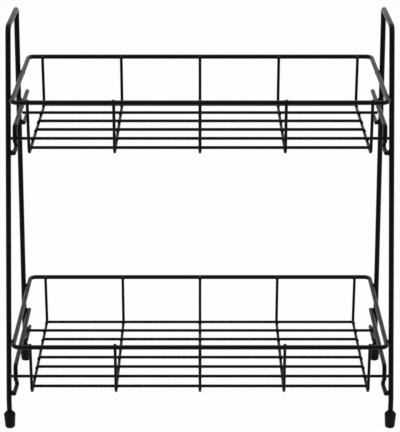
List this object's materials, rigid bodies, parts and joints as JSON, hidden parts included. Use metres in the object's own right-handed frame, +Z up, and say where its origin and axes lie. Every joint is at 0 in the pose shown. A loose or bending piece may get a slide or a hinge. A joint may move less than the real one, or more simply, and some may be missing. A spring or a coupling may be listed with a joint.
{
  "type": "spice rack",
  "caption": "Free-standing tiered wire spice rack: leaning inverted-U end frames on rubber feet pull off sideways from open wire baskets.",
  "frame": {"origin": "on the table, midway between the feet, under the middle of the baskets", "axes": "+X along the baskets to the right end, +Z up, front towards -Y"},
  "size_m": [0.4066, 0.1924, 0.4176],
  "materials": {
    "coated_wire": "satin black coating on steel wire",
    "rubber_foot": "moulded black rubber, dull"
  },
  "bodies": {
    "baskets": {"upper_rim": "coated_wire", "upper_cross_wire_1": "coated_wire", "upper_cross_wire_2": "coated_wire", "upper_cross_wire_3": "coated_wire", "upper_cross_wire_4": "coated_wire", "upper_cross_wire_5": "coated_wire", "upper_floor_wire_1": "coated_wire", "upper_floor_wire_2": "coated_wire", "upper_floor_wire_3": "coated_wire", "upper_floor_wire_4": "coated_wire", "upper_floor_wire_5": "coated_wire", "upper_floor_wire_6": "coated_wire", "lower_rim": "coated_wire", "lower_cross_wire_1": "coated_wire", "lower_cross_wire_2": "coated_wire", "lower_cross_wire_3": "coated_wire", "lower_cross_wire_4": "coated_wire", "lower_cross_wire_5": "coated_wire", "lower_floor_wire_1": "coated_wire", "lower_floor_wire_2": "coated_wire", "lower_floor_wire_3": "coated_wire", "lower_floor_wire_4": "coated_wire", "lower_floor_wire_5": "coated_wire", "lower_floor_wire_6": "coated_wire", "lower_floor_wire_7": "coated_wire", "lower_floor_wire_8": "coated_wire"},
    "left_end": {"left_end_frame": "coated_wire", "left_front_foot": "rubber_foot", "left_rear_foot": "rubber_foot", "upper_left_brace": "coated_wire", "lower_left_brace": "coated_wire", "upper_left_stay": "coated_wire", "lower_left_stay": "coated_wire", "upper_left_front_peg": "coated_wire", "upper_left_rear_peg": "coated_wire", "lower_left_front_peg": "coated_wire", "lower_left_rear_peg": "coated_wire"},
    "right_end": {"right_end_frame": "coated_wire", "right_front_foot": "rubber_foot", "right_rear_foot": "rubber_foot", "upper_right_brace": "coated_wire", "lower_right_brace": "coated_wire", "upper_right_stay": "coated_wire", "lower_right_stay": "coated_wire", "upper_right_front_peg": "coated_wire", "upper_right_rear_peg": "coated_wire", "lower_right_front_peg": "coated_wire", "lower_right_rear_peg": "coated_wire"}
  },
  "joints": [
    {"name": "left_end_pull", "type": "slide", "parent": "baskets", "child": "left_end", "axis": [-1, 0, 0], "range_m": [0, 0.03]},
    {"name": "right_end_pull", "type": "slide", "parent": "baskets", "child": "right_end", "axis": [1, 0, 0], "range_m": [0, 0.03]}
  ]
}
